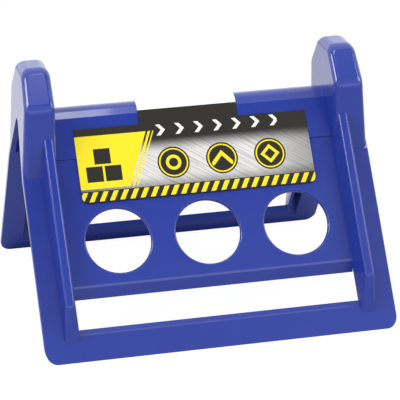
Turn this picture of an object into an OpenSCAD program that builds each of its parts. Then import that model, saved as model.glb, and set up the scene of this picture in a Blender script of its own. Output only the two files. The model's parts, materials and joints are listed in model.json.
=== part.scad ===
// Corner protector for tie-down straps: one moulded A-shaped shell with a printed label card.
// Millimetres. X runs along the ridge, Y from front to back and Z up.
// The origin is on the floor, under the middle of the ridge.

/* [Shell] */
// Overall width along the ridge
width = 200; // [190:1:220]
// Height at which the outer faces of the two legs would meet in a sharp edge
apex_height = 121.6; // [116:0.1:130]
// Lean of each leg from upright, in degrees
leg_lean = 36; // [33:0.5:40]
// Thickness of the moulded wall
wall = 3.2; // [2.6:0.1:3.8]
// Rounding of the ridge, on the faces of the legs
ridge_radius = 7.7; // [7.5:0.1:10]
// Rounding of the lower corners of each leg, seen from the front
foot_corner_radius = 6.5; // [3:0.5:12]

/* [Strap channel] */
// Clear width between the two ears
channel_width = 160; // [152:1:166]
// Height of the pad that runs over the ridge between the ears
pad_height = 0.8; // [0.4:0.1:1.5]
// Reach of the pad down each leg, from the sharp edge
pad_reach = 34.8; // [28:0.1:40]

/* [Ears] */
// Height of the ears above the sharp edge
ear_rise = 22.5; // [16:0.5:26]
// Height of the bend in each ear's faces above the sharp edge
ear_bend_rise = 4; // [1:0.5:8]
// Depth of an ear below the bend, from front to back
ear_depth = 52; // [48:0.5:56]
// Depth of the flat top of an ear, from front to back
ear_top_depth = 20.5; // [15:0.5:24]
// Draft of an ear's outer side, in degrees
ear_draft = 3.8; // [2:0.2:5]
// Rounding of an ear's top edges at the front and the back
ear_edge_radius = 2.5; // [1:0.1:4]
// Rounding of an ear's top corners, seen from the front
ear_corner_radius = 5; // [3.8:0.1:6]
// Rounding of the bend in an ear's faces
ear_bend_radius = 6; // [4:0.5:9]

/* [Ribs] */
// Height of a rib above the face of its leg
rib_height = 13; // [10:0.2:15]
// Width of a rib where it stands on the leg
rib_base_width = 8.7; // [8.2:0.1:10]
// Draft of a rib's side that faces the channel, in degrees
rib_inner_draft = 10; // [6:0.5:11]
// Draft of a rib's outer side, in degrees
rib_outer_draft = 6; // [3:0.5:7]
// Level distance from a rib's upright end to the front edge of the foot
rib_setback = 6.3; // [4:0.1:10]
// Thickness of a rib's hollow walls
rib_wall = 1.9; // [1.5:0.1:2.1]
// Rounding of a rib's top edges
rib_edge_radius = 1.2; // [0.8:0.1:1.6]

/* [Rope holes] */
// Diameter of a rope hole
hole_diameter = 37.1; // [30:0.1:40]
// Distance between the middles of neighbouring holes
hole_pitch = 51.1; // [46:0.1:54]
// Number of holes in each leg
hole_count = 3; // [1:1:3]
// Distance from the panel's lower edge up to the middles of the holes
hole_above_slot = 24.8; // [23:0.1:28]
// Rounding of a hole's outer rim
hole_rim_radius = 1.2; // [0.5:0.1:1.6]

/* [Strap slot] */
// Opening of the slot, along the leg
slot_gap = 22.4; // [16:0.1:26]
// Height of the slot's lower edge above the floor
foot_bar_height = 15.6; // [12:0.1:20]
// Height of the upright lip that ends the panel above the slot
slot_lip = 7.5; // [7:0.1:10]
// Width of the bevel on the slot's lower edge
slot_bevel_width = 4; // [2:0.1:6]
// Drop of that bevel below the face of the leg
slot_bevel_depth = 0.7; // [0.3:0.1:1.2]
// Height of the small step where that bevel starts
slot_bevel_step = 0.4; // [0.2:0.1:0.5]

/* [Label card] */
// Width of the card
label_width = 134.6; // [110:0.2:145]
// Height of the card below its neck
label_height = 42.9; // [36:0.1:46]
// Distance from the sharp edge down to the card's shoulders
label_drop = 18.6; // [15:0.1:20]
// Distance of the card's middle from the middle of the ridge
label_shift = -1.2; // [-3:0.1:3]
// Rounding of the card's lower corners
label_corner_radius = 3.5; // [2:0.5:10]
// Thickness of the card
label_thickness = 0.5; // [0.3:0.1:1]
// Width of the card's neck, which is bent over the ridge
neck_width = 57.2; // [40:0.2:70]
// Distance of the neck's middle from the middle of the ridge
neck_shift = -2; // [-4:0.1:4]
// Reach of the neck down the back leg, from the sharp edge
neck_reach = 24; // [22:0.5:30]

/* [Hidden] */
$fn = 96;
// How far a cutter runs past the face that it opens
overrun = 1;
// Place of a rim's arc, just under its radius, so that the arc crosses the faces it joins
rim_blend = 0.98;
moulding_blue = [0.25, 0.31, 0.64];
card_silver = [0.86, 0.86, 0.84];

lean_sin = sin(leg_lean);
lean_cos = cos(leg_lean);
half_width = width / 2;
half_channel = channel_width / 2;
foot_y = apex_height * tan(leg_lean);
foot_drop = apex_height / lean_cos;
slot_low_drop = foot_drop - foot_bar_height / lean_cos;
slot_high_drop = slot_low_drop - slot_gap;
hole_drop = slot_high_drop - hole_above_slot;
rib_end = foot_y - rib_setback;
ear_top = apex_height + ear_rise;
ear_bend = apex_height + ear_bend_rise;
// The ears stand in the middle of the leg's wall
ear_foot = apex_height - ear_depth / 2 / tan(leg_lean) - wall / 2 / lean_sin;
// The ribs start inside the ears' front walls
rib_start = max(0, (ear_depth / 2 - 2 * wall - rib_height * lean_cos) / lean_sin);

// Point of the front leg's side view, from its distance below the sharp edge and above the face
function leg_point(drop, lift) =
    [-drop * lean_sin - lift * lean_cos, apex_height - drop * lean_cos + lift * lean_sin];

// Side view of the A, with its faces moved out by lift and cut level at the height base
function frame_outline(lift, base) =
    let (top = apex_height + lift / lean_sin, half = (top - base) * tan(leg_lean))
    [[-half, base], [half, base], [0, top]];

// Side view of an ear that starts at the height base
function ear_outline(base) = [
    [-ear_depth / 2, base], [ear_depth / 2, base], [ear_depth / 2, ear_bend],
    [ear_top_depth / 2, ear_top], [-ear_top_depth / 2, ear_top], [-ear_depth / 2, ear_bend]];

// Distance from the middle of the ridge to an ear's outer side, at a height
function ear_side(height) = half_width - (height - ear_foot) * tan(ear_draft);

// Front view of an ear that starts at the height base
function ear_width_outline(base) = [
    [half_channel, base], [ear_side(base), base],
    [ear_side(ear_top), ear_top], [half_channel, ear_top]];

// Section of a rib, square to the leg, that starts at the height base on the leg's face
function rib_outline(base) = [
    [half_channel, base], [half_channel + rib_base_width, base], [half_channel + rib_base_width, 0],
    [half_channel + rib_base_width - rib_height * tan(rib_outer_draft), rib_height],
    [half_channel + rib_height * tan(rib_inner_draft), rib_height], [half_channel, 0]];

function unit(v) = v / norm(v);
function before(list, i) = list[(i + len(list) - 1) % len(list)];
function after(list, i) = list[(i + 1) % len(list)];
// Half of the inside angle at a corner
function half_angle(p, q, r) = acos(unit(p - q) * unit(r - q)) / 2;
function inward(p, q) = let (v = unit(q - p)) [-v[1], v[0]];

// Outline with every side moved in by the same distance
function inset(points, distance) = [
    for (i = [0 : len(points) - 1])
        let (p = before(points, i), q = points[i], r = after(points, i),
             middle = unit(inward(p, q) + inward(q, r)))
        q + middle * distance / (middle * inward(p, q))];

// Convex outline with its corners rounded by true arcs
module soft_outline(points, radii) {
    polygon([
        for (i = [0 : len(points) - 1])
            let (p = before(points, i), q = points[i], r = after(points, i),
                 cut = radii[i] / tan(half_angle(p, q, r)))
            for (end = cut > 0 ? [p, r] : [p])
                q + unit(end - q) * cut]);
    for (i = [0 : len(points) - 1])
        if (radii[i] > 0) {
            p = before(points, i);
            q = points[i];
            r = after(points, i);
            translate(q + unit(unit(p - q) + unit(r - q)) * radii[i] / sin(half_angle(p, q, r)))
                circle(radii[i]);
        }
}

// Runs a side view along the ridge
module along_ridge(start, end) {
    translate([start, 0, 0])
        rotate([90, 0, 90])
            linear_extrude(end - start)
                children();
}

// Runs a front view from front to back, evenly about the ridge
module across_ridge(depth) {
    translate([0, depth / 2, 0])
        rotate([90, 0, 0])
            linear_extrude(depth)
                children();
}

// Frame of the front leg: Y up the leg from the sharp edge, Z out of its face
module on_leg() {
    translate([0, 0, apex_height])
        rotate([90 - leg_lean, 0, 0])
            children();
}

module both_legs() {
    children();
    mirror([0, 1, 0]) children();
}

module both_ends() {
    children();
    mirror([1, 0, 0]) children();
}

// The A in full, with its faces moved out by lift
module frame_block(start, end, lift, base, radius) {
    along_ridge(start, end)
        soft_outline(frame_outline(lift, base), [0, 0, radius]);
}

// All that lies above a height
module above(height) {
    translate([-width, -width, height])
        cube([2 * width, 2 * width, ear_top]);
}

module ridge_pad() {
    intersection() {
        frame_block(-half_channel, half_channel, pad_height, 0, ridge_radius + pad_height);
        above(apex_height - pad_reach * lean_cos);
    }
}

module ear_block(base, thickness) {
    bend = ear_bend_radius - thickness;
    edge = max(0, ear_edge_radius - thickness);
    corner = ear_corner_radius - thickness;
    intersection() {
        along_ridge(half_channel, half_width)
            soft_outline(inset(ear_outline(base), thickness), [0, 0, bend, edge, edge, bend]);
        across_ridge(ear_depth)
            soft_outline(inset(ear_width_outline(base), thickness), [0, 0, corner, corner]);
    }
}

// A rib runs down the leg and ends upright
module rib_block(base, thickness, edge) {
    intersection() {
        on_leg()
            translate([0, -rib_start, 0])
                rotate([90, 0, 0])
                    linear_extrude(foot_drop - rib_start)
                        soft_outline(inset(rib_outline(base), thickness), [0, 0, 0, edge, edge, 0]);
        translate([0, thickness - rib_end, 0])
            cube([width, rib_end, ear_top]);
    }
}

// The panel above the slot turns down into an upright lip
module slot_lip_bar() {
    face = leg_point(slot_high_drop, 0);
    edge_y = face[0] + wall;
    along_ridge(-half_channel, half_channel)
        polygon([
            face - [0, slot_lip],
            [edge_y, face[1] - slot_lip],
            [edge_y, face[1] - wall / 2 / lean_sin + wall / tan(leg_lean)],
            face - [0, wall / 2 / lean_sin]]);
}

module hollow() {
    difference() {
        frame_block(-half_width - overrun, half_width + overrun, -wall, -overrun, ridge_radius - wall);
        both_legs() slot_lip_bar();
    }
    both_ends() {
        ear_block(ear_foot - 2 * wall, wall);
        both_legs() rib_block(-2 * wall - rib_wall, rib_wall, 0);
    }
}

module rope_hole() {
    radius = hole_diameter / 2;
    rim_inset = hole_rim_radius * rim_blend;
    translate([0, 0, -wall - overrun])
        cylinder(d = hole_diameter, h = wall + 2 * overrun);
    rotate_extrude()
        difference() {
            translate([radius - overrun, -rim_inset])
                square([rim_inset + overrun, rim_inset + overrun]);
            translate([radius + rim_inset, -rim_inset])
                circle(hole_rim_radius);
        }
}

module rope_holes() {
    for (i = [0 : hole_count - 1])
        on_leg()
            translate([(i - (hole_count - 1) / 2) * hole_pitch, -hole_drop, 0])
                rope_hole();
}

// The slot has upright faces, as the two halves of the mould part upwards
module strap_slot() {
    high = leg_point(slot_high_drop, 0);
    low = leg_point(slot_low_drop, 0);
    translate([-half_channel, low[0], -overrun])
        cube([channel_width, high[0] - low[0], high[1] + 2 * overrun]);
    along_ridge(-half_channel, half_channel)
        polygon([
            leg_point(slot_low_drop + slot_bevel_width - slot_bevel_step, -slot_bevel_step),
            leg_point(slot_low_drop + slot_bevel_width + overrun, overrun),
            leg_point(slot_low_drop - slot_bevel_width, overrun),
            leg_point(slot_low_drop - slot_bevel_width, -2 * slot_bevel_depth)]);
}

// The A between its outer sides, which follow the ears' sides; its lower corners are rounded
// as seen from the front
module legs() {
    intersection() {
        frame_block(-width, width, 0, -overrun, ridge_radius);
        across_ridge(width)
            soft_outline(
                [[-half_width, 0], [half_width, 0], [half_width, ear_foot], [ear_side(ear_top), ear_top],
                 [-ear_side(ear_top), ear_top], [-half_width, ear_foot]],
                [foot_corner_radius, foot_corner_radius, 0, 0, 0, 0]);
    }
}

module body() {
    color(moulding_blue)
        difference() {
            union() {
                legs();
                ridge_pad();
                both_ends() {
                    ear_block(ear_foot, 0);
                    both_legs() rib_block(-wall / 2, 0, rib_edge_radius);
                }
            }
            hollow();
            both_legs() {
                rope_holes();
                strap_slot();
            }
        }
}

// One sheet that lies on the pad, over the whole ridge
module card_sheet() {
    outside = pad_height + label_thickness;
    difference() {
        frame_block(-half_channel, half_channel, outside, 0, ridge_radius + outside);
        frame_block(-width, width, pad_height, -overrun, ridge_radius + pad_height);
    }
}

// The card lies on the front pad, and its neck is bent over the ridge
module label() {
    low = -label_drop - label_height;
    half = label_width / 2;
    color(card_silver)
        intersection() {
            card_sheet();
            union() {
                on_leg()
                    translate([label_shift, 0, 0])
                        linear_extrude(pad_height + label_thickness + overrun)
                            soft_outline(
                                [[-half, low], [half, low], [half, -label_drop], [-half, -label_drop]],
                                [label_corner_radius, label_corner_radius, 0, 0]);
                intersection() {
                    translate([neck_shift - neck_width / 2, -width, 0])
                        cube([neck_width, 2 * width, ear_top]);
                    above(apex_height - neck_reach * lean_cos);
                }
            }
        }
}

body();
label();
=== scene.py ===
"""Looks of the strap corner protector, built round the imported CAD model.

The moulded shell is the CAD shell cut back to a blank with softened edges, so that every edge
catches the light as a moulding's does. The label card is the CAD card with a printed finish.
"""

import json
import math

import bmesh
import bpy
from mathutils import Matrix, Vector

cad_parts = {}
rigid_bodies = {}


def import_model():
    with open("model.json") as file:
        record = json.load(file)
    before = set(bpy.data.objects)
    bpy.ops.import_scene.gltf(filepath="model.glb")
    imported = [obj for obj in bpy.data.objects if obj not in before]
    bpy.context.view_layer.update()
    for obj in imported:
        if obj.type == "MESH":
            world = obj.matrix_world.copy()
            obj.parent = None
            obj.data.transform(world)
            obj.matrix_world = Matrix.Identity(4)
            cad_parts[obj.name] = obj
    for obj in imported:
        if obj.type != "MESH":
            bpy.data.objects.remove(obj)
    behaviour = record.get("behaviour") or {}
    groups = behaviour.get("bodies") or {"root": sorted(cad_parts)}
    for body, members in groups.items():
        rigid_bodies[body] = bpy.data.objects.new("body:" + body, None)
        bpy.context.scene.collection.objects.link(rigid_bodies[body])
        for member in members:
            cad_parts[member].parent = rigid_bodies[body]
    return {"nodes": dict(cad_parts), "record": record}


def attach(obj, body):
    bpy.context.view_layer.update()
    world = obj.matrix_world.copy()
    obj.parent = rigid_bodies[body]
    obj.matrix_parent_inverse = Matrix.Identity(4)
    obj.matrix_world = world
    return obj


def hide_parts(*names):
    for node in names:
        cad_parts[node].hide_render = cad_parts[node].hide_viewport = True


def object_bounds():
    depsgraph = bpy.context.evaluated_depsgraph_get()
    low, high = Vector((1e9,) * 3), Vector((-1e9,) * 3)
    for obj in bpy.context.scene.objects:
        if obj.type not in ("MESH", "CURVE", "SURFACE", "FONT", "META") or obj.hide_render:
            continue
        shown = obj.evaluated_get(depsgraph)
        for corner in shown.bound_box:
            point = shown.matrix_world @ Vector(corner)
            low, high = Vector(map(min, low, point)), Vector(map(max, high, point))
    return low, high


bl_info = {
    "name": "Strap corner protector",
    "version": (1, 0, 0),
    "blender": (4, 5, 0),
    "location": "View3D > Sidebar > Protector",
    "description": "Finishes a moulded strap corner protector and its label card round a CAD frame",
    "category": "Object",
}

for start_object in list(bpy.data.objects):
    bpy.data.objects.remove(start_object)
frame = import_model()
CAD_LOW, CAD_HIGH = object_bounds()

MM = 0.001
ROOT = "root"
SHELL_NODE = "body"
CARD_NODE = "label"

# Places closer than this are taken as the same
NEAR = 0.1 * MM

# An edge runs along an axis when this share of its length does
STRAIGHT = 0.999


# Form of the shell, worked out from the frame

def rope_hole_axis():
    """Outward direction of a front rope hole, which is square to the front leg's face."""
    for mount in frame["record"]["mounts"]:
        if mount["kind"] == "bore" and mount["axis"][1] < 0:
            return mount["axis"]
    raise RuntimeError("the packed record has no bore in the front leg")


LEAN = math.asin(rope_hole_axis()[2])
HALF_WIDTH = CAD_HIGH.x
FOOT_Y = CAD_HIGH.y
EAR_TOP = CAD_HIGH.z
APEX = FOOT_Y / math.tan(LEAN)


def leg_point(drop, lift=0.0):
    """Y and Z on the front leg, from the way down its face and the height above the face."""
    return (
        -drop * math.sin(LEAN) - lift * math.cos(LEAN),
        APEX - drop * math.cos(LEAN) + lift * math.sin(LEAN),
    )


# Settings that a user would change

def length(name, description, millimetres):
    return bpy.props.FloatProperty(
        name=name, description=description, default=millimetres * MM, unit="LENGTH", precision=5
    )


def angle(name, description, degrees):
    return bpy.props.FloatProperty(
        name=name, description=description, default=math.radians(degrees), subtype="ANGLE"
    )


def share(name, description, value):
    return bpy.props.FloatProperty(
        name=name, description=description, default=value, min=0.0, max=1.0, subtype="FACTOR"
    )


def colour(name, description, value):
    return bpy.props.FloatVectorProperty(
        name=name, description=description, default=value, size=3, min=0.0, max=1.0,
        subtype="COLOR",
    )


class ShellSettings(bpy.types.PropertyGroup):
    half_channel: length("Half channel", "Half of the clear width between the ears", 80.0)
    pad_height: length("Pad height", "Height of the ridge pad above the legs", 0.8)
    pad_reach: length("Pad reach", "Reach of the ridge pad down each leg", 34.8)
    pad_edge: length("Pad edge", "Softening of the ridge pad's lower edges", 0.7)
    ear_depth: length("Ear depth", "Depth of an ear below its bend", 52.0)
    ear_top_depth: length("Ear top depth", "Depth of the flat top of an ear", 20.5)
    ear_bend_drop: length("Ear bend drop", "Drop from an ear's top to its bend", 18.5)
    ear_reach: length("Ear reach", "Length of an ear that is softened, from its top down", 62.0)
    ear_draft: angle("Ear draft", "Draft of an ear's outer side", 3.8)
    ear_corner: length("Ear corner", "Rounding of an ear's top corners, seen from the front", 5.0)
    ear_edge: length("Ear edge", "Rounding of the edges of an ear's faces", 3.6)
    ear_foot: length("Ear foot", "Height at which an ear's outer side meets the leg's side", 83.09)
    rib_height: length("Rib height", "Height of a rib above its leg", 13.0)
    rib_width: length("Rib width", "Width of a rib where it stands on its leg", 8.7)
    rib_inner_draft: angle("Rib inner draft", "Draft of a rib's side that faces the channel", 10.0)
    rib_outer_draft: angle("Rib outer draft", "Draft of a rib's outer side", 6.0)
    rib_setback: length("Rib setback", "Distance from a rib's upright end to the foot's edge", 6.3)
    rib_edge: length("Rib edge", "Rounding of a rib's top edges", 1.3)
    rib_end_edge: length("Rib end edge", "Rounding of the upright edges of a rib's end", 2.0)
    foot_corner: length("Foot corner", "Rounding of the legs' lower corners", 6.5)
    leg_edge: length("Leg edge", "Rounding of the outer edges of the legs", 0.6)
    lip_drop: length("Lip drop", "Way down the leg to the edge of the panel above the slot", 108.62)
    lip_edge: length("Lip edge", "Width of the softened edge of that panel", 1.3)
    lip_height: length("Lip height", "Height of the upright lip that ends that panel", 7.5)
    back_trim: length("Back trim", "How much of that lip is trimmed off on the back leg", 2.8)
    step_drop: length(
        "Step drop", "Way down the leg to the bottom of the step on the foot bar", 134.62
    )
    step_depth: length("Step depth", "Depth of that step", 0.4)
    step_slope: angle("Step slope", "Slope of the planed step, from the leg's face", 24.0)
    facet_lean: angle("Facet lean", "Lean of the facet along the ridge, from upright", 45.0)
    facet_reach: length(
        "Facet reach", "Distance of that facet from the middle of the ridge's arc", 8.25
    )
    arc_height: length("Arc height", "Height of the middle of the ridge's arc", 108.5)
    skin: length("Skin", "How far the softened blank stands clear of the CAD faces", 0.03)
    blue: colour("Blue", "Colour of the moulded plastic", (0.009, 0.035, 0.330))
    deep_blue: colour("Deep blue", "Darker flow marks in the plastic", (0.008, 0.031, 0.312))
    skin_gloss: share("Skin gloss", "Weight of the clear gloss on the moulded skin", 0.8)
    gloss_blur: share("Gloss blur", "Roughness of that clear gloss", 0.07)
    smooth_skin: share("Smooth skin", "Roughness of the smoothest places", 0.19)
    dull_skin: share("Dull skin", "Roughness of the dullest places", 0.24)


class CardSettings(bpy.types.PropertyGroup):
    shift: length("Shift", "Distance of the card's middle from the middle of the ridge", -1.2)
    bottom_drop: length("Bottom drop", "Way down the leg to the card's lower edge", 61.5)
    print_top: length("Print top", "Height of the print, above which the bent neck is bare", 51.2)
    ink_black: colour("Black ink", "Header, stripes and symbols", (0.020, 0.018, 0.013))
    ink_yellow: colour("Yellow ink", "Yellow field and stripes", (0.95, 0.78, 0.012))
    paper: colour("Paper", "Bare card and white shapes", (0.93, 0.93, 0.93))
    silver: colour("Silver", "Bright part of the brushed field", (0.78, 0.77, 0.75))
    dull_silver: colour("Dull silver", "Dark lines of the brushed field", (0.50, 0.49, 0.47))
    stripe_height: length("Stripe height", "Height of the striped border", 5.8)
    stripe_pitch: length("Stripe pitch", "Distance between like stripes", 5.8)
    film_blur: share("Film blur", "Roughness of the film over the print", 0.3)


class StageSettings(bpy.types.PropertyGroup):
    camera_place: bpy.props.FloatVectorProperty(
        name="Camera place", description="Where the camera stands", size=3,
        default=(-0.25840, -1.14675, 0.50439), subtype="TRANSLATION", unit="LENGTH", precision=5,
    )
    camera_turn: bpy.props.FloatVectorProperty(
        name="Camera turn", description="How the camera is turned", size=3,
        default=tuple(math.radians(v) for v in (69.0218, 0.7170, -13.3068)), subtype="EULER",
    )
    camera_lens: bpy.props.FloatProperty(
        name="Lens", description="Focal length, in millimetres", default=195.31
    )
    camera_shift: bpy.props.FloatVectorProperty(
        name="Camera shift", description="Sideways shift of the lens", size=2,
        default=(-0.00125, 0.00125),
    )
    daylight: bpy.props.FloatProperty(
        name="Daylight", description="Strength of the even light from all sides", default=0.98
    )
    front_gloss: bpy.props.FloatProperty(
        name="Front gloss", default=2.4,
        description="Brightness of the room in front, as gloss shows it",
    )
    back_gloss: bpy.props.FloatProperty(
        name="Back gloss", default=1.5,
        description="Brightness of the wall behind, as gloss shows it",
    )
    floor_glow: share("Floor glow", "Share of the floor's white that shows in a shadow", 0.95)
    softbox_low: bpy.props.FloatVectorProperty(
        name="Softbox low", description="Left front corner of the softbox", size=2,
        default=(-0.03, -0.285), unit="LENGTH",
    )
    softbox_high: bpy.props.FloatVectorProperty(
        name="Softbox high", description="Right back corner of the softbox", size=2,
        default=(0.066, -0.12), unit="LENGTH",
    )
    softbox_height: length("Softbox height", "Height of the softbox above the floor", 717.0)
    strip_size: length("Strip size", "Size of the square lights on the two sides", 280.0)
    left_power: bpy.props.FloatProperty(
        name="Left power", description="Power of the light on the left", default=1.9, unit="POWER"
    )
    right_power: bpy.props.FloatProperty(
        name="Right power", description="Power of the light on the right", default=1.1, unit="POWER"
    )
    softbox_power: bpy.props.FloatProperty(
        name="Softbox power", description="Power of the softbox", default=0.25, unit="POWER"
    )


# Small tools for modelling

def activate(piece):
    """Selects one object alone, in object mode."""
    if bpy.context.object and bpy.context.object.mode != "OBJECT":
        bpy.ops.object.mode_set(mode="OBJECT")
    bpy.ops.object.select_all(action="DESELECT")
    piece.select_set(True)
    bpy.context.view_layer.objects.active = piece


def edit(piece, mode="EDGE"):
    """Opens a piece for editing with nothing selected, and gives its edit mesh."""
    activate(piece)
    bpy.ops.object.mode_set(mode="EDIT")
    bpy.ops.mesh.select_mode(type=mode)
    bpy.ops.mesh.select_all(action="DESELECT")
    return bmesh.from_edit_mesh(piece.data)


def choose(piece, elements, test):
    """Selects those edges, faces or corners of the edit mesh that pass a test."""
    chosen = 0
    for element in elements:
        element.select = bool(test(element))
        chosen += element.select
    bmesh.update_edit_mesh(piece.data)
    if not chosen:
        raise RuntimeError("nothing to shape was found on " + piece.name)


def close_edit():
    bpy.ops.object.mode_set(mode="OBJECT")


def add_block(name, low, high, place=(0, 0, 0), turn=0.0):
    """Adds a cube between two corners, then turns it about X and moves it to its place."""
    low, high = Vector(low), Vector(high)
    if bpy.context.object and bpy.context.object.mode != "OBJECT":
        bpy.ops.object.mode_set(mode="OBJECT")
    bpy.ops.object.select_all(action="DESELECT")
    bpy.ops.mesh.primitive_cube_add(size=1, location=(low + high) / 2, scale=high - low)
    block = bpy.context.object
    block.name = name
    bpy.ops.object.transform_apply(location=True, rotation=True, scale=True)
    block.rotation_euler.x = turn
    block.location = place
    bpy.ops.object.transform_apply(location=True, rotation=True, scale=True)
    return block


def mirrored(piece, axis):
    """Copies a piece to the other side of the object, with its faces outwards."""
    activate(piece)
    bpy.ops.object.duplicate()
    copy = bpy.context.object
    copy.scale[axis] = -1
    bpy.ops.object.transform_apply(location=True, rotation=True, scale=True)
    bpy.ops.object.mode_set(mode="EDIT")
    bpy.ops.mesh.select_all(action="SELECT")
    bpy.ops.mesh.normals_make_consistent(inside=False)
    close_edit()
    return copy


def combine(piece, other, operation):
    """Joins, cuts or crosses a piece with another one, which is used up."""
    modifier = piece.modifiers.new(operation.title(), "BOOLEAN")
    modifier.operation = operation
    modifier.solver = "EXACT"
    modifier.object = other
    activate(piece)
    bpy.ops.object.modifier_apply(modifier=modifier.name)
    bpy.data.objects.remove(other)


def bevel(offset, segments):
    """Rounds the selected edges."""
    bpy.ops.mesh.bevel(
        offset_type="OFFSET", offset=offset, segments=segments, profile=0.5, affect="EDGES",
        clamp_overlap=False,
    )


def turn_of(edge):
    """Angle between the two faces of an edge."""
    return edge.calc_face_angle(0.0)


def along(edge, axis):
    """True where an edge runs along one axis."""
    line = edge.verts[1].co - edge.verts[0].co
    return abs(line[axis]) > STRAIGHT * line.length


def middle(edge):
    return (edge.verts[0].co + edge.verts[1].co) / 2


# Softened blank of the shell

SHARP = math.radians(15)  # edges that turn more than this are rounded
SLANTED = 0.1  # a leg's face looks up and outwards by more than this
PRISM_WELD = 0.01 * MM  # corners closer than this become one
RIB_ROOT = 2 * MM  # how deep a rib's blank goes into its leg
PLANE_BAR = 4 * MM  # size of the bars that plane an edge
PLANED_AREA = 20 * MM ** 2  # planed faces are larger than this
PLANED_MATCH = 0.9999  # and look along a planed way by more than this


def prism(name, half_length, lift, base):
    """A roof-shaped block along the ridge, its faces moved out by lift and its floor at base."""
    top = APEX + lift / math.sin(LEAN)
    half_depth = (top - base) * math.tan(LEAN)
    block = add_block(name, (-half_length, -half_depth, base), (half_length, half_depth, top))
    mesh = edit(block, "VERT")
    choose(block, mesh.verts, lambda v: v.co.z > (base + top) / 2)
    bpy.ops.transform.resize(value=(1, 0, 1), center_override=(0, 0, top))
    bpy.ops.mesh.select_all(action="SELECT")
    bpy.ops.mesh.remove_doubles(threshold=PRISM_WELD)
    close_edit()
    return block


def legs_blank(shell):
    """The two legs, with rounded lower corners and soft outer edges."""
    blank = prism("legs_blank", HALF_WIDTH + shell.skin, shell.skin, -shell.skin)
    mesh = edit(blank)
    choose(blank, mesh.edges, lambda e: along(e, 1))
    bevel(shell.foot_corner, segments=10)
    mesh = bmesh.from_edit_mesh(blank.data)
    choose(
        blank, mesh.edges,
        lambda e: turn_of(e) > SHARP and middle(e).z < APEX - MM
        and any(f.normal.z > SLANTED and abs(f.normal.y) > SLANTED for f in e.link_faces),
    )
    bevel(shell.leg_edge, segments=3)
    close_edit()
    return blank


def pad_blank(shell):
    """The raised pad along the ridge."""
    base = leg_point(shell.pad_reach)[1] - shell.skin
    blank = prism("pad_blank", shell.half_channel + shell.skin, shell.pad_height + shell.skin, base)
    mesh = edit(blank)
    choose(blank, mesh.edges, lambda e: along(e, 0) and middle(e).z < base + MM)
    bevel(shell.pad_edge, segments=3)
    close_edit()
    return blank


def ear_blank(shell):
    """The ear on the right."""
    top = EAR_TOP + shell.skin
    bend = EAR_TOP - shell.ear_bend_drop
    base = EAR_TOP - shell.ear_reach
    half_depth = shell.ear_depth / 2 + shell.skin
    outer = HALF_WIDTH + shell.skin
    blank = add_block(
        "ear_blank", (shell.half_channel - shell.skin, -half_depth, base), (outer, half_depth, top)
    )
    edit(blank)
    bpy.ops.mesh.select_all(action="SELECT")
    bpy.ops.mesh.bisect(plane_co=(0, 0, bend), plane_no=(0, 0, 1))
    for level in (base, bend, top):
        mesh = edit(blank, "VERT")
        choose(
            blank, mesh.verts,
            lambda v, z=level: abs(v.co.z - z) < NEAR and v.co.x > shell.half_channel + MM,
        )
        inset = (level - shell.ear_foot) * math.tan(shell.ear_draft)
        bpy.ops.transform.translate(value=(-inset, 0, 0))
    mesh = edit(blank, "VERT")
    choose(blank, mesh.verts, lambda v: v.co.z > top - NEAR)
    narrowing = (shell.ear_top_depth / 2 + shell.skin) / half_depth
    bpy.ops.transform.resize(value=(1, narrowing, 1), center_override=(0, 0, top))
    mesh = edit(blank)
    choose(blank, mesh.edges, lambda e: along(e, 1) and middle(e).z > top - NEAR)
    bevel(shell.ear_corner, segments=8)
    mesh = edit(blank)
    choose(blank, mesh.edges, lambda e: turn_of(e) > SHARP and middle(e).z > base + MM)
    bevel(shell.ear_edge, segments=8)
    close_edit()
    return blank


def rib_blank(shell):
    """The rib on the right of the front leg."""
    inside_ear = shell.ear_depth / 4
    end = APEX / math.cos(LEAN) + RIB_ROOT
    inner = shell.half_channel - shell.skin
    outer = shell.half_channel + shell.rib_width + shell.skin
    height = shell.rib_height + shell.skin
    blank = add_block(
        "rib_blank", (inner, -end, -RIB_ROOT), (outer, -inside_ear, height),
        place=(0, 0, APEX), turn=math.pi / 2 - LEAN,
    )
    out_of_face = Vector((0, -math.cos(LEAN), math.sin(LEAN)))

    def lift(point):
        return (point - Vector((0, 0, APEX))).dot(out_of_face)

    for level in (-RIB_ROOT, height):
        for side, draft in ((1, shell.rib_inner_draft), (-1, shell.rib_outer_draft)):
            mesh = edit(blank, "VERT")
            choose(
                blank, mesh.verts,
                lambda v, z=level, s=side: abs(lift(v.co) - z) < NEAR
                and (v.co.x - (inner + outer) / 2) * s < 0,
            )
            bpy.ops.transform.translate(value=(side * level * math.tan(draft), 0, 0))
    end_y = shell.rib_setback - FOOT_Y - shell.skin
    edit(blank)
    bpy.ops.mesh.select_all(action="SELECT")
    bpy.ops.mesh.bisect(
        plane_co=(0, end_y, 0), plane_no=(0, -1, 0), clear_outer=True, use_fill=True,
    )
    mesh = edit(blank)
    choose(
        blank, mesh.edges,
        lambda e: all(abs(v.co.y - end_y) < NEAR for v in e.verts) and not along(e, 0),
    )
    bevel(shell.rib_end_edge, segments=6)
    mesh = edit(blank)
    choose(blank, mesh.edges, lambda e: turn_of(e) > SHARP and lift(middle(e)) > height / 2)
    bevel(shell.rib_edge, segments=4)
    close_edit()
    return blank


def planed_ways(shell):
    """Ways that the planed faces of the two legs look."""
    return [
        Vector((0, side * math.cos(facing), math.sin(facing)))
        for facing in (LEAN / 2, LEAN + shell.step_slope, shell.facet_lean)
        for side in (-1, 1)
    ]


def plane_bar(shell, name, place, facing, upper=PLANE_BAR):
    """A bar whose lower face lies at a point of the side view and faces an angle above level."""
    reach = shell.half_channel - shell.skin
    return add_block(
        name, (-reach, -PLANE_BAR, 0), (reach, upper, PLANE_BAR),
        place=(0, *place), turn=math.pi / 2 - facing,
    )


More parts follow.
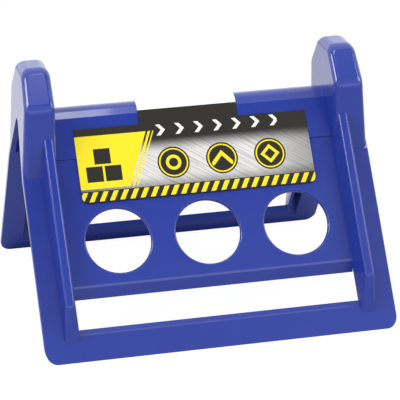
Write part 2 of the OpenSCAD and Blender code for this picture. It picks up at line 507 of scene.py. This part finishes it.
def plane_bars(shell):
    """Bars that plane the panel's lower edge, the foot bar's step and the ridge's shoulder."""
    lip_depth = shell.lip_edge / 2 * math.tan(LEAN / 2)
    edge = leg_point(shell.lip_drop)
    lip = (edge[0] + lip_depth * math.cos(LEAN / 2), edge[1] - lip_depth * math.sin(LEAN / 2))
    step = leg_point(shell.step_drop, -shell.step_depth)
    facet = (
        -shell.facet_reach * math.cos(shell.facet_lean),
        shell.arc_height + shell.facet_reach * math.sin(shell.facet_lean),
    )
    return (
        plane_bar(shell, "lip_bar", lip, LEAN / 2),
        plane_bar(shell, "step_bar", step, LEAN + shell.step_slope, 0.0),
        plane_bar(shell, "facet_bar", facet, shell.facet_lean),
    )


def back_trim_bar(shell):
    """A bar that trims the lip above the back slot, which the rope holes would show otherwise."""
    reach = shell.half_channel + shell.skin
    edge_y, edge_z = leg_point(shell.lip_drop)
    lip_end = edge_z - shell.lip_height
    return add_block(
        "back_trim_bar", (-reach, -edge_y - 2 * PLANE_BAR, lip_end - PLANE_BAR),
        (reach, -edge_y + shell.skin, lip_end + shell.back_trim),
    )


# Finishes

def new_material(name):
    material = bpy.data.materials.new(name)
    material.use_nodes = True
    material.node_tree.nodes.clear()
    return material, material.node_tree


def node(tree, kind, inputs=None, **values):
    """Adds a node, sets its values, and sets or links its inputs."""
    made = tree.nodes.new(kind)
    for key, value in values.items():
        setattr(made, key, value)
    for key, value in (inputs or {}).items():
        socket = made.inputs[key]
        if isinstance(value, bpy.types.NodeSocket):
            tree.links.new(value, socket)
        else:
            socket.default_value = value
    return made


def opaque(value):
    return (*value, 1.0)


# Sizes of the plastic's marks, as the scale of their noise
FLOW_MARKS = 26.0
SINK_MARKS = 32.0
GLOSS_MARKS = 140.0
FINE_GRAIN = 1800.0


def moulded_plastic(shell):
    """Glossy blue plastic with faint flow marks, sink marks and a fine grain."""
    material, tree = new_material("moulded_blue_plastic")
    place = node(tree, "ShaderNodeTexCoord").outputs["Object"]
    flow = node(
        tree, "ShaderNodeTexNoise",
        {"Vector": place, "Scale": FLOW_MARKS, "Detail": 3.0, "Distortion": 0.6},
    )
    colours = node(tree, "ShaderNodeValToRGB", {"Fac": flow.outputs["Fac"]})
    for stop, position, tint in zip(
        colours.color_ramp.elements, (0.3, 0.6), (shell.deep_blue, shell.blue)
    ):
        stop.position = position
        stop.color = opaque(tint)
    gloss = node(
        tree, "ShaderNodeTexNoise", {"Vector": place, "Scale": GLOSS_MARKS, "Detail": 4.0}
    )
    roughness = node(
        tree, "ShaderNodeMapRange",
        {
            "Value": gloss.outputs["Fac"], "From Min": 0.3, "From Max": 0.7,
            "To Min": shell.smooth_skin, "To Max": shell.dull_skin,
        },
    )
    grain = node(tree, "ShaderNodeTexNoise", {"Vector": place, "Scale": FINE_GRAIN, "Detail": 2.0})
    fine = node(
        tree, "ShaderNodeBump",
        {"Height": grain.outputs["Fac"], "Strength": 0.03, "Distance": 0.02 * MM},
    )
    sink = node(tree, "ShaderNodeTexNoise", {"Vector": place, "Scale": SINK_MARKS, "Detail": 1.0})
    waves = node(
        tree, "ShaderNodeBump",
        {
            "Height": sink.outputs["Fac"], "Strength": 0.06, "Distance": 0.25 * MM,
            "Normal": fine.outputs["Normal"],
        },
    )
    plastic = node(
        tree, "ShaderNodeBsdfPrincipled",
        {
            "Base Color": colours.outputs["Color"],
            "Roughness": roughness.outputs["Result"],
            "Normal": waves.outputs["Normal"],
            "IOR": 1.5,
            "Coat Weight": shell.skin_gloss,
            "Coat Roughness": shell.gloss_blur,
            "Coat Normal": waves.outputs["Normal"],
        },
    )
    node(tree, "ShaderNodeOutputMaterial", {"Surface": plastic.outputs["BSDF"]})
    return material


class Print:
    """Lays flat shapes of colour over one another, in millimetres across and up the card."""

    def __init__(self, tree, card):
        self.tree = tree
        place = node(tree, "ShaderNodeTexCoord").outputs["Object"]
        across = node(tree, "ShaderNodeSeparateXYZ", {0: place}).outputs["X"]
        up_leg = (0.0, math.sin(LEAN), math.cos(LEAN))
        up = node(
            tree, "ShaderNodeVectorMath", {0: place, 1: up_leg}, operation="DOT_PRODUCT"
        ).outputs["Value"]
        foot = APEX * math.cos(LEAN) - card.bottom_drop
        self.u = self.math("DIVIDE", self.math("SUBTRACT", across, card.shift), MM)
        self.v = self.math("DIVIDE", self.math("SUBTRACT", up, foot), MM)
        self.colour = None

    def math(self, operation, *inputs):
        return node(
            self.tree, "ShaderNodeMath", dict(enumerate(inputs)), operation=operation
        ).outputs[0]

    def point(self, u, v):
        return node(self.tree, "ShaderNodeCombineXYZ", {0: u, 1: v}).outputs[0]

    def fade(self, value, start, end, top=1.0):
        """Rises smoothly from 0 at start to top at end."""
        return node(
            self.tree, "ShaderNodeMapRange",
            {"Value": value, "From Min": start, "From Max": end, "To Min": 0.0, "To Max": top},
            interpolation_type="SMOOTHSTEP",
        ).outputs["Result"]

    def band(self, value, low, high):
        """1 between two values."""
        return self.math("COMPARE", value, (low + high) / 2, (high - low) / 2)

    def both(self, *masks):
        joined = masks[0]
        for mask in masks[1:]:
            joined = self.math("MULTIPLY", joined, mask)
        return joined

    def block(self, low, high, slant=0.0):
        """A box between two corners, leaning to the right by slant."""
        u = self.math("MULTIPLY_ADD", self.v, -slant, self.u) if slant else self.u
        return self.both(self.band(u, low[0], high[0]), self.band(self.v, low[1], high[1]))

    def off(self, value, centre):
        """How far a value is from a given one."""
        return self.math("ABSOLUTE", self.math("SUBTRACT", value, centre))

    def away(self, centre):
        """Distance from a point of the card."""
        return node(
            self.tree, "ShaderNodeVectorMath", {0: self.point(self.u, self.v), 1: (*centre, 0.0)},
            operation="DISTANCE",
        ).outputs["Value"]

    def lay(self, colour, mask):
        """Prints a colour over what is there, where the mask is 1."""
        if not isinstance(colour, bpy.types.NodeSocket):
            colour = opaque(colour)
        made = node(self.tree, "ShaderNodeMix", {"Factor": mask}, data_type="RGBA")
        for name, value in (("A_Color", self.colour), ("B_Color", colour)):
            socket = next(item for item in made.inputs if item.identifier == name)
            if isinstance(value, bpy.types.NodeSocket):
                self.tree.links.new(value, socket)
            else:
                socket.default_value = value
        self.colour = next(item for item in made.outputs if item.identifier == "Result_Color")


# Layout of the print, in millimetres across and up from the middle of the card's lower edge
BRUSH_TURN = math.radians(-34)
BRUSH_STRETCH = (30.0, 0.8, 1.0)
BRUSH_RANGE = (0.3, 0.6)
END_SHADE = (34.0, 70.0, 0.55)
LOW_SHADE = (13.0, 5.0, 0.6)
HEADER_FADE = (24.5, 34.0)
ARROW_ROW = 38.6
ARROW_LOW, ARROW_HIGH = 35.4, 41.8
ARROW_LEFT, ARROW_RIGHT = -22.0, 50.0
ARROW_PITCH = 11.0
ARROW_SLOPE = 0.9
ARROW_STROKE = (0.40, 0.62)
FIELD_LOW, FIELD_HIGH = 7.6, 38.5
FIELD_SLANT = 0.42
FIELD_BANDS = ((-90.0, -42.5), (-41.3, -39.9), (-38.7, -38.0))
PARCEL_WIDTH, PARCEL_HEIGHT = 9.4, 9.0
PARCELS = ((-63.0, 11.5), (-52.4, 11.5), (-57.7, 21.7))
SYMBOL_ROW = 19.0
RING_AT, ANGLE_AT, DIAMOND_AT = -13.0, 15.0, 43.0
DISC_RADIUS = 9.2
DISC_LINE = (7.5, 8.3)
RING_LINE = (2.6, 4.4)
ANGLE_SLOPE = 1.1
ANGLE_LINE = (20.4, 23.6)
ANGLE_LOW, ANGLE_HIGH = (9.0, 15.0), (21.0, 26.0)
DIAMOND_LINE = (3.2, 5.6)
STRIPE_SLANT = 0.55
STRIPE_SHARE = 0.48
STRIPE_FOOT = 0.3
BORDER_LINE = 0.5


def brushed_field(ink, card):
    """Silver with fine slanted lines, darker towards the ends and the lower edge."""
    lines = node(
        ink.tree, "ShaderNodeMapping",
        {
            "Vector": ink.point(ink.u, ink.v),
            "Rotation": (0.0, 0.0, BRUSH_TURN),
            "Scale": BRUSH_STRETCH,
        },
        vector_type="TEXTURE",
    )
    grain = node(
        ink.tree, "ShaderNodeTexNoise", {"Vector": lines.outputs[0], "Scale": 1.0, "Detail": 3.0}
    )
    ink.colour = opaque(card.dull_silver)
    ink.lay(card.silver, ink.fade(grain.outputs["Fac"], *BRUSH_RANGE))
    ink.lay(card.ink_black, ink.fade(ink.math("ABSOLUTE", ink.u), *END_SHADE))
    ink.lay(card.ink_black, ink.fade(ink.v, *LOW_SHADE))


def header(ink, card):
    """Black top that fades into the silver, with a row of white arrowheads."""
    ink.lay(card.ink_black, ink.fade(ink.v, *HEADER_FADE))
    lean = ink.math("MULTIPLY", ink.off(ink.v, ARROW_ROW), ARROW_SLOPE)
    place = ink.math("FRACT", ink.math("DIVIDE", ink.math("ADD", ink.u, lean), ARROW_PITCH))
    row = ink.block((ARROW_LEFT, ARROW_LOW), (ARROW_RIGHT, ARROW_HIGH))
    ink.lay(card.paper, ink.both(ink.band(place, *ARROW_STROKE), row))


def parcel_field(ink, card):
    """Yellow field with a stack of parcels."""
    for left, right in FIELD_BANDS:
        band = ink.block((left, FIELD_LOW), (right, FIELD_HIGH), FIELD_SLANT)
        ink.lay(card.ink_yellow, band)
    for left, low in PARCELS:
        parcel = ink.block((left, low), (left + PARCEL_WIDTH, low + PARCEL_HEIGHT))
        ink.lay(card.ink_black, parcel)


def round_symbols(ink, card):
    """Three dark discs with a ring, an angle and a diamond."""
    for across in (RING_AT, ANGLE_AT, DIAMOND_AT):
        away = ink.away((across, SYMBOL_ROW))
        ink.lay(card.ink_black, ink.math("LESS_THAN", away, DISC_RADIUS))
        ink.lay(card.ink_yellow, ink.band(away, *DISC_LINE))
    ink.lay(card.ink_yellow, ink.band(ink.away((RING_AT, SYMBOL_ROW)), *RING_LINE))
    slope = ink.math("MULTIPLY_ADD", ink.off(ink.u, ANGLE_AT), ANGLE_SLOPE, ink.v)
    angle_box = ink.block(ANGLE_LOW, ANGLE_HIGH)
    ink.lay(card.ink_yellow, ink.both(ink.band(slope, *ANGLE_LINE), angle_box))
    around = ink.math("ADD", ink.off(ink.u, DIAMOND_AT), ink.off(ink.v, SYMBOL_ROW))
    ink.lay(card.ink_yellow, ink.band(around, *DIAMOND_LINE))


def striped_border(ink, card):
    """Slanted yellow stripes on black along the lower edge."""
    height = card.stripe_height / MM
    pitch = card.stripe_pitch / MM
    ink.lay(card.ink_black, ink.math("LESS_THAN", ink.v, height + BORDER_LINE))
    slanted = ink.math("MULTIPLY_ADD", ink.v, -STRIPE_SLANT, ink.u)
    place = ink.math("FRACT", ink.math("DIVIDE", slanted, pitch))
    stripes = ink.math("LESS_THAN", place, STRIPE_SHARE)
    ink.lay(card.ink_yellow, ink.both(stripes, ink.band(ink.v, STRIPE_FOOT, height)))


def printed_card(card):
    """Card with a printed, filmed front and a bare neck."""
    material, tree = new_material("printed_card")
    ink = Print(tree, card)
    brushed_field(ink, card)
    header(ink, card)
    parcel_field(ink, card)
    round_symbols(ink, card)
    striped_border(ink, card)
    ink.lay(card.paper, ink.math("GREATER_THAN", ink.v, card.print_top / MM))
    film = node(
        tree, "ShaderNodeBsdfPrincipled",
        {"Base Color": ink.colour, "Roughness": card.film_blur, "IOR": 1.45},
    )
    node(tree, "ShaderNodeOutputMaterial", {"Surface": film.outputs["BSDF"]})
    return material


def dress(piece, material):
    piece.data.materials.clear()
    piece.data.materials.append(material)


# Operators

CAD_WELD = 0.002 * MM  # corners of the CAD mesh closer than this become one
CUT_WELD = 0.005 * MM  # and the same after the cuts
FLAT_ANGLE = math.radians(0.2)  # faces that turn less than this become one
SMOOTH_ANGLE = math.radians(32)  # edges that turn less than this are shaded smooth
BY_AREA = 100  # large faces set the shading at their edges


class PROTECTOR_OT_shell(bpy.types.Operator):
    """Cuts a copy of the CAD shell back to a softened blank and gives it moulded plastic"""

    bl_idname = "protector.shell"
    bl_label = "Moulded shell"

    def execute(self, context):
        shell = context.scene.protector_shell
        blank = legs_blank(shell)
        combine(blank, pad_blank(shell), "UNION")
        ear = ear_blank(shell)
        rib = rib_blank(shell)
        back_rib = mirrored(rib, 1)
        for piece in (ear, rib, back_rib):
            combine(blank, mirrored(piece, 0), "UNION")
            combine(blank, piece, "UNION")

        cad_shell = frame["nodes"][SHELL_NODE]
        activate(cad_shell)
        bpy.ops.object.duplicate()
        moulding = context.object
        moulding.name = "moulded_shell"
        moulding.parent = None
        for key in list(moulding.keys()):
            del moulding[key]
        edit(moulding, "VERT")
        bpy.ops.mesh.select_all(action="SELECT")
        bpy.ops.mesh.customdata_custom_splitnormals_clear()
        bpy.ops.mesh.remove_doubles(threshold=CAD_WELD)
        bpy.ops.mesh.dissolve_limited(angle_limit=FLAT_ANGLE)
        close_edit()
        combine(moulding, blank, "INTERSECT")
        for bar in plane_bars(shell):
            combine(moulding, mirrored(bar, 1), "DIFFERENCE")
            combine(moulding, bar, "DIFFERENCE")
        combine(moulding, back_trim_bar(shell), "DIFFERENCE")
        edit(moulding, "VERT")
        bpy.ops.mesh.select_all(action="SELECT")
        bpy.ops.mesh.remove_doubles(threshold=CUT_WELD)
        bpy.ops.mesh.dissolve_degenerate(threshold=CUT_WELD)
        close_edit()
        activate(moulding)
        bpy.ops.object.shade_smooth_by_angle(angle=SMOOTH_ANGLE)
        ways = planed_ways(shell)
        mesh = edit(moulding, "FACE")
        choose(
            moulding, mesh.faces,
            lambda f: f.calc_area() > PLANED_AREA
            and any(f.normal.dot(way) > PLANED_MATCH for way in ways),
        )
        bpy.ops.mesh.region_to_loop()
        bpy.ops.mesh.mark_sharp()
        close_edit()
        bpy.ops.object.modifier_add(type="WEIGHTED_NORMAL")
        flat_faces = moulding.modifiers[-1]
        flat_faces.weight = BY_AREA
        flat_faces.keep_sharp = True
        bpy.ops.object.modifier_apply(modifier=flat_faces.name)
        dress(moulding, moulded_plastic(shell))
        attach(moulding, ROOT)
        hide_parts(SHELL_NODE)
        return {"FINISHED"}


class PROTECTOR_OT_card(bpy.types.Operator):
    """Prints the CAD label card"""

    bl_idname = "protector.card"
    bl_label = "Label card"

    def execute(self, context):
        piece = frame["nodes"][CARD_NODE]
        dress(piece, printed_card(context.scene.protector_card))
        return {"FINISHED"}


def seen_directly(tree, path):
    """1 for rays from the camera and for rays through glass."""
    return node(
        tree, "ShaderNodeMath",
        {0: path.outputs["Is Camera Ray"], 1: path.outputs["Is Transmission Ray"]},
        operation="MAXIMUM",
    ).outputs[0]


def between(tree, factor, first, second):
    """Goes from one number to another as the factor goes from 0 to 1."""
    return node(
        tree, "ShaderNodeMapRange",
        {"Value": factor, "From Min": 0.0, "From Max": 1.0, "To Min": first, "To Max": second},
    ).outputs["Result"]


# The floor: gloss sees it dull up to a place behind the object and bright from a farther one on,
# other rays see plain paint, and the camera sees white
FLOOR_SIZE = 30.0
FLOOR_NEAR, FLOOR_FAR = 0.10, 0.20
FLOOR_DULL, FLOOR_BRIGHT = 0.45, 0.95
FLOOR_PAINT = 0.92
FLOOR_WHITE = 1.05


def white_floor(stage):
    """A white floor that keeps a faint shadow."""
    material, tree = new_material("white_floor")
    path = node(tree, "ShaderNodeLightPath")
    place = node(
        tree, "ShaderNodeSeparateXYZ", {0: node(tree, "ShaderNodeTexCoord").outputs["Object"]}
    )
    depth = node(
        tree, "ShaderNodeMapRange",
        {
            "Value": place.outputs["Y"], "From Min": FLOOR_NEAR, "From Max": FLOOR_FAR,
            "To Min": FLOOR_DULL, "To Max": FLOOR_BRIGHT,
        },
    )
    shade = between(tree, path.outputs["Is Glossy Ray"], FLOOR_PAINT, depth.outputs["Result"])
    paint = node(tree, "ShaderNodeBsdfDiffuse", {"Color": shade})
    glow = node(tree, "ShaderNodeEmission", {"Strength": stage.floor_glow})
    veil = node(
        tree, "ShaderNodeBsdfDiffuse", {"Color": opaque((FLOOR_WHITE - stage.floor_glow,) * 3)}
    )
    white = node(tree, "ShaderNodeAddShader", {0: glow.outputs[0], 1: veil.outputs[0]})
    surface = node(
        tree, "ShaderNodeMixShader",
        {0: seen_directly(tree, path), 1: paint.outputs[0], 2: white.outputs[0]},
    )
    node(tree, "ShaderNodeOutputMaterial", {"Surface": surface.outputs[0]})
    return material


# Brightness of the room in front, by the height of the way there: 0 is level and 1 is straight up.
# A low band lights the edges that face it, and a dark one keeps the panel's upper part deep blue.
FRONT_ROOM = (
    (0.0, 0.40), (0.15, 0.40), (0.19, 0.80), (0.27, 0.80), (0.31, 0.40), (0.45, 0.40),
    (0.70, 0.30), (0.738, 0.26), (0.766, 0.085), (0.80, 0.05), (0.832, 0.06),
    (0.853, 0.33), (0.88, 0.45), (0.93, 0.50), (1.0, 0.50),
)

# Where the room in front turns into the wall behind, by the way's share of +Y
WALL_START, WALL_END = -0.3, 0.5


def studio_world(stage):
    """Even light, which gloss sees as a banded room in front and a bright wall behind."""
    world = bpy.data.worlds.new("studio")
    world.use_nodes = True
    world.node_tree.nodes.clear()
    tree = world.node_tree
    path = node(tree, "ShaderNodeLightPath")
    way = node(
        tree, "ShaderNodeSeparateXYZ", {0: node(tree, "ShaderNodeTexCoord").outputs["Generated"]}
    )
    front = node(tree, "ShaderNodeValToRGB", {"Fac": way.outputs["Z"]})
    stops = front.color_ramp.elements
    while len(stops) < len(FRONT_ROOM):
        stops.new(1.0)
    for stop, (height, brightness) in zip(stops, FRONT_ROOM):
        stop.position = height
        stop.color = opaque((brightness,) * 3)
    front = node(
        tree, "ShaderNodeMath", {0: front.outputs[0], 1: stage.front_gloss}, operation="MULTIPLY"
    )
    behind = node(
        tree, "ShaderNodeMapRange",
        {"Value": way.outputs["Y"], "From Min": WALL_START, "From Max": WALL_END},
        interpolation_type="SMOOTHSTEP",
    )
    room = between(tree, behind.outputs["Result"], front.outputs[0], stage.back_gloss)
    light = between(tree, path.outputs["Is Glossy Ray"], stage.daylight, room)
    light = between(tree, seen_directly(tree, path), light, 1.0)
    air = node(tree, "ShaderNodeBackground", {"Strength": light})
    node(tree, "ShaderNodeOutputWorld", {"Surface": air.outputs[0]})
    return world


STRIP_DISTANCE = 0.8
LEFT_WAY = (-0.65, -0.26, 0.70)
RIGHT_WAY = (0.65, -0.43, 0.62)
NEAREST_SEEN = 0.01


def add_light(name, place, way, size, power):
    """Adds a flat light at a place, shining one way."""
    turn = Vector(way).to_track_quat("-Z", "Y").to_euler()
    bpy.ops.object.light_add(type="AREA", location=place, rotation=turn)
    light = bpy.context.object
    light.name = name
    light.data.shape = "RECTANGLE"
    light.data.size, light.data.size_y = size
    light.data.energy = power


class PROTECTOR_OT_stage(bpy.types.Operator):
    """Sets up the floor, the light and the camera"""

    bl_idname = "protector.stage"
    bl_label = "Stage"

    def execute(self, context):
        scene = context.scene
        stage = scene.protector_stage
        bpy.ops.object.select_all(action="DESELECT")
        bpy.ops.mesh.primitive_plane_add(size=FLOOR_SIZE)
        floor = context.object
        floor.name = "floor"
        dress(floor, white_floor(stage))
        scene.world = studio_world(stage)

        low, high = Vector(stage.softbox_low), Vector(stage.softbox_high)
        size = high - low
        above = Vector((*((low + high) / 2), stage.softbox_height))
        add_light("softbox", above, (0, 0, -1), size, stage.softbox_power)
        for name, way, power in (
            ("right_strip", RIGHT_WAY, stage.right_power),
            ("left_strip", LEFT_WAY, stage.left_power),
        ):
            away = Vector(way)
            place = away * STRIP_DISTANCE + Vector((0, 0, APEX / 2))
            add_light(name, place, -away, (stage.strip_size,) * 2, power)

        bpy.ops.object.camera_add(location=stage.camera_place, rotation=stage.camera_turn)
        camera = context.object
        camera.name = "camera"
        camera.data.lens = stage.camera_lens
        camera.data.shift_x, camera.data.shift_y = stage.camera_shift
        camera.data.clip_start = NEAREST_SEEN
        scene.camera = camera
        scene.view_settings.view_transform = "Standard"
        return {"FINISHED"}


class PROTECTOR_PT_panel(bpy.types.Panel):
    """Lists the steps and their settings"""

    bl_idname = "PROTECTOR_PT_panel"
    bl_label = "Corner protector"
    bl_space_type = "VIEW_3D"
    bl_region_type = "UI"
    bl_category = "Protector"

    def draw(self, context):
        scene = context.scene
        for operator, settings in (
            (PROTECTOR_OT_shell, scene.protector_shell),
            (PROTECTOR_OT_card, scene.protector_card),
            (PROTECTOR_OT_stage, scene.protector_stage),
        ):
            box = self.layout.box()
            box.operator(operator.bl_idname)
            for key in settings.__annotations__:
                box.prop(settings, key)


CLASSES = (
    ShellSettings, CardSettings, StageSettings,
    PROTECTOR_OT_shell, PROTECTOR_OT_card, PROTECTOR_OT_stage, PROTECTOR_PT_panel,
)


def register():
    """Adds the classes and their settings to Blender."""
    for item in CLASSES:
        bpy.utils.register_class(item)
    bpy.types.Scene.protector_shell = bpy.props.PointerProperty(type=ShellSettings)
    bpy.types.Scene.protector_card = bpy.props.PointerProperty(type=CardSettings)
    bpy.types.Scene.protector_stage = bpy.props.PointerProperty(type=StageSettings)


def unregister():
    """Takes the classes and their settings out again."""
    del bpy.types.Scene.protector_stage
    del bpy.types.Scene.protector_card
    del bpy.types.Scene.protector_shell
    for item in reversed(CLASSES):
        bpy.utils.unregister_class(item)


def main():
    register()
    bpy.ops.protector.shell()
    bpy.ops.protector.card()
    bpy.ops.protector.stage()


if __name__ == "__main__":
    main()
